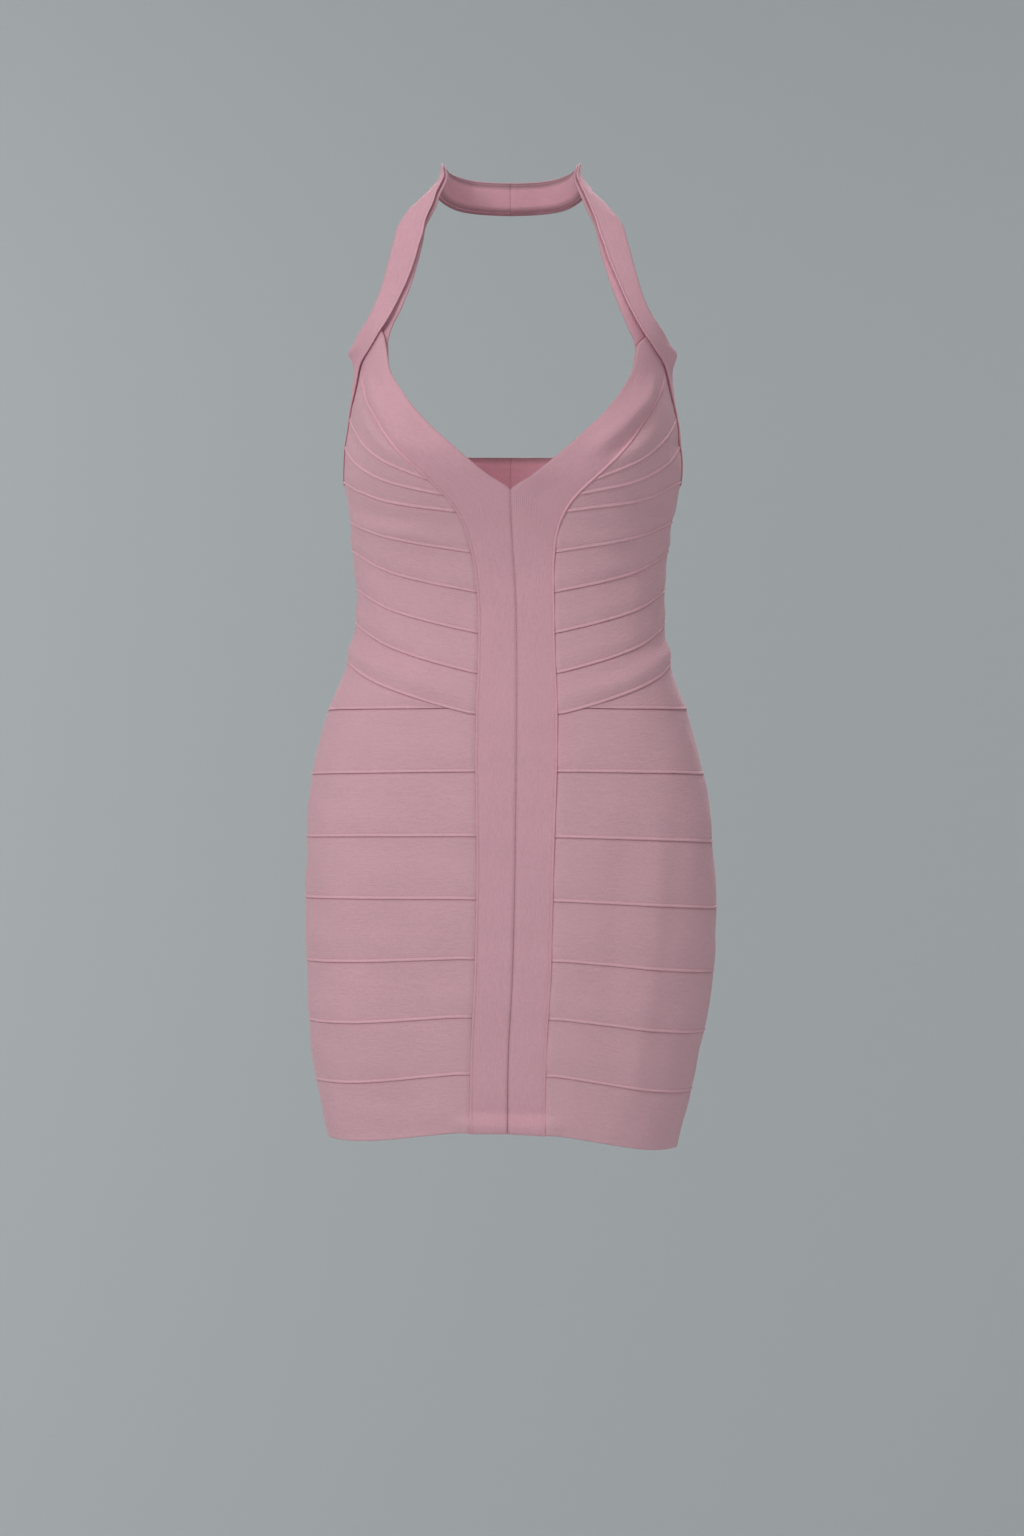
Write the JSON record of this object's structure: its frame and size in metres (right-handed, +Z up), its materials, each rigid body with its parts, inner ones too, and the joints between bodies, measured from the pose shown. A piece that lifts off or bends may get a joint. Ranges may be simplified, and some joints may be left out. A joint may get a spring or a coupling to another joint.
{
  "type": "bodycon dress",
  "caption": "Sleeveless halter mini dress in bandage knit, held in its worn shape, with a V neckline, slanted bodice strips and a level-striped skirt.",
  "frame": {"origin": "inner face of the halter at the centre of the nape, where the wearer's neck holds the dress", "axes": "+Z up, the front of the dress faces -Y, +X towards the viewer's right when the front is seen"},
  "size_m": [0.3372, 0.2491, 0.8061],
  "materials": {
    "bandage_knit": "matte knit with fine ribs along each band"
  },
  "bodies": {
    "root": {"neck_band_left": "bandage_knit", "neck_band_right": "bandage_knit", "halter_band_left": "bandage_knit", "halter_band_right": "bandage_knit", "cup_strip_1_left": "bandage_knit", "cup_strip_1_right": "bandage_knit", "cup_strip_2_left": "bandage_knit", "cup_strip_2_right": "bandage_knit", "cup_strip_3_left": "bandage_knit", "cup_strip_3_right": "bandage_knit", "bodice_strip_1": "bandage_knit", "bodice_strip_2": "bandage_knit", "bodice_strip_3": "bandage_knit", "bodice_strip_4": "bandage_knit", "bodice_strip_5": "bandage_knit", "yoke_strip": "bandage_knit", "skirt_strip_1": "bandage_knit", "skirt_strip_2": "bandage_knit", "skirt_strip_3": "bandage_knit", "skirt_strip_4": "bandage_knit", "skirt_strip_5": "bandage_knit", "skirt_strip_6": "bandage_knit", "skirt_strip_7": "bandage_knit"}
  },
  "joints": []
}
